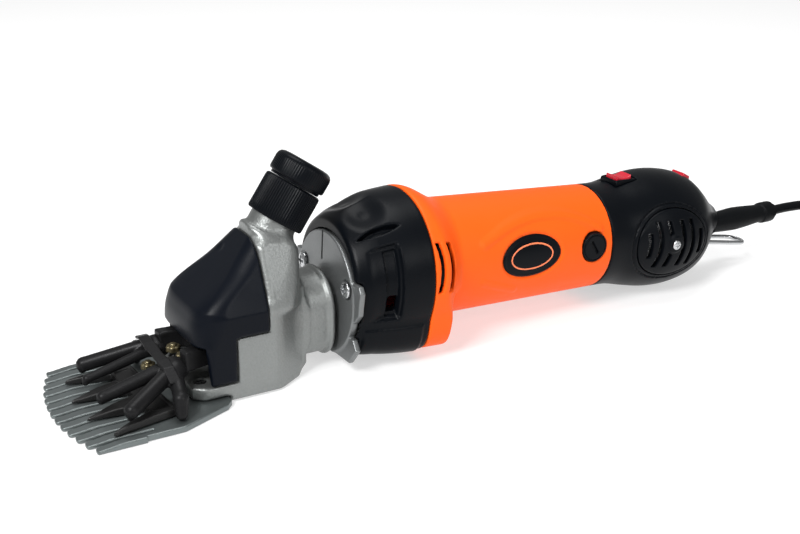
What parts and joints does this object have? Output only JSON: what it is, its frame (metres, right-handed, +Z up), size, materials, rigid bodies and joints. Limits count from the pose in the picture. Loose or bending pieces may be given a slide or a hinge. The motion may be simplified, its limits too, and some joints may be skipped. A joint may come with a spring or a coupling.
{
  "type": "sheep shears",
  "caption": "Hand-held electric sheep shears with a cast shearing head, wide comb and cutter, tension knob, two-colour motor body with rear switch, and a mains lead.",
  "frame": {"origin": "on the ground under the middle of the tool without its lead, half way between the comb tips and the hang loop's end, and half way across it", "axes": "+X from the comb tips to the lead, +Y to the tool's left, +Z up from the ground that the comb and the rear belly stand on"},
  "size_m": [0.5051, 0.1281, 0.0936],
  "materials": {
    "comb_steel": "ground",
    "screw_steel": "bright plated",
    "fork_steel": "blackened",
    "bright_steel": "machined",
    "core_steel": "laminated",
    "cast_head": "die cast, tumbled",
    "black_plastic": "fine texture",
    "orange_plastic": "satin",
    "red_plastic": "gloss",
    "fan_plastic": "moulded",
    "copper": "enamelled and machined",
    "carbon": "pressed carbon",
    "cord_rubber": "matt sheath",
    "tie_plastic": "woven strap"
  },
  "bodies": {
    "housing": {"comb": "comb_steel", "comb_screw_left": "screw_steel", "comb_screw_right": "screw_steel", "plate_screw_left": "screw_steel", "plate_screw_right": "screw_steel", "vent_screw_left": "screw_steel", "vent_screw_right": "screw_steel", "fulcrum_post": "screw_steel", "crank_bearing_front": "bright_steel", "crank_bearing_rear": "bright_steel", "rotor_bearing_front": "bright_steel", "rotor_bearing_rear": "bright_steel", "plug_pin_left": "bright_steel", "plug_pin_right": "bright_steel", "stator_core": "core_steel", "head_casting": "cast_head", "gear_plate": "cast_head", "gear_bracket": "cast_head", "front_cover": "black_plastic", "gear_housing": "black_plastic", "rear_housing": "black_plastic", "vent_cover_left": "black_plastic", "vent_cover_right": "black_plastic", "power_switch_frame": "black_plastic", "brush_cap_left": "black_plastic", "brush_cap_right": "black_plastic", "motor_housing": "orange_plastic", "field_coil_upper": "copper", "field_coil_lower": "copper", "brush_holder_left": "copper", "brush_holder_right": "copper", "brush_left": "carbon", "brush_right": "carbon", "strain_relief_boot": "cord_rubber", "power_cord": "cord_rubber", "cord_coil": "cord_rubber", "cord_tail": "cord_rubber", "plug_body": "cord_rubber", "cord_tie": "tie_plastic"},
    "rotor": {"rotor_shaft": "bright_steel", "armature": "core_steel", "commutator": "copper", "fan": "fan_plastic"},
    "crank": {"crankshaft": "bright_steel", "crank_gear": "bright_steel"},
    "fork": {"fork": "fork_steel", "tension_cup": "bright_steel", "finger_pair_left": "fork_steel", "finger_pair_right": "fork_steel", "finger_spring_clip": "fork_steel", "cutter": "fork_steel"},
    "tension": {"tension_pin": "bright_steel", "tension_spring": "bright_steel"},
    "knob": {"tension_knob": "black_plastic", "tension_knob_cap": "black_plastic"},
    "power_rocker": {"power_rocker": "red_plastic"},
    "speed_selector": {"speed_selector": "red_plastic"},
    "hang_loop": {"hang_loop": "bright_steel"}
  },
  "joints": [
    {"name": "rotor_spin", "type": "hinge", "parent": "housing", "child": "rotor", "pos_m": [-0.0215, 0, 0.03687], "axis": [0.9983, 0, -0.0576], "continuous": true},
    {"name": "crank_spin", "type": "hinge", "parent": "housing", "child": "crank", "pos_m": [-0.02247, 0, 0.02002], "axis": [0.9983, 0, -0.0576], "continuous": true},
    {"name": "fork_swing", "type": "hinge", "parent": "housing", "child": "fork", "pos_m": [-0.0935, 0, 0.015], "axis": [0, 0, 1], "range_deg": [-10.7, 0.7]},
    {"name": "tension_slide", "type": "slide", "parent": "housing", "child": "tension", "axis": [0.5707, 0, 0.8211], "range_m": [0, 0.003]},
    {"name": "knob_turn", "type": "hinge", "parent": "tension", "child": "knob", "pos_m": [-0.0838, 0, 0.0656], "axis": [0.5707, 0, 0.8211], "range_deg": [0, 722]},
    {"name": "rocker_tilt", "type": "hinge", "parent": "housing", "child": "power_rocker", "pos_m": [0.09731, 0, 0.05554], "axis": [0, 1, 0], "range_deg": [-5, 5]},
    {"name": "selector_tilt", "type": "hinge", "parent": "housing", "child": "speed_selector", "pos_m": [0.13245, 0, 0.04553], "axis": [0, 1, 0], "range_deg": [-6, 6]},
    {"name": "loop_swing", "type": "hinge", "parent": "housing", "child": "hang_loop", "pos_m": [0.14612, 0, 0.01668], "axis": [0, 1, 0], "range_deg": [0, 70]}
  ],
  "couplings": [
    {"joint": "crank_spin", "follows": "rotor_spin", "ratio": -0.25},
    {"joint": "knob_turn", "follows": "tension_slide", "rad_per_m": 4188.8}
  ]
}
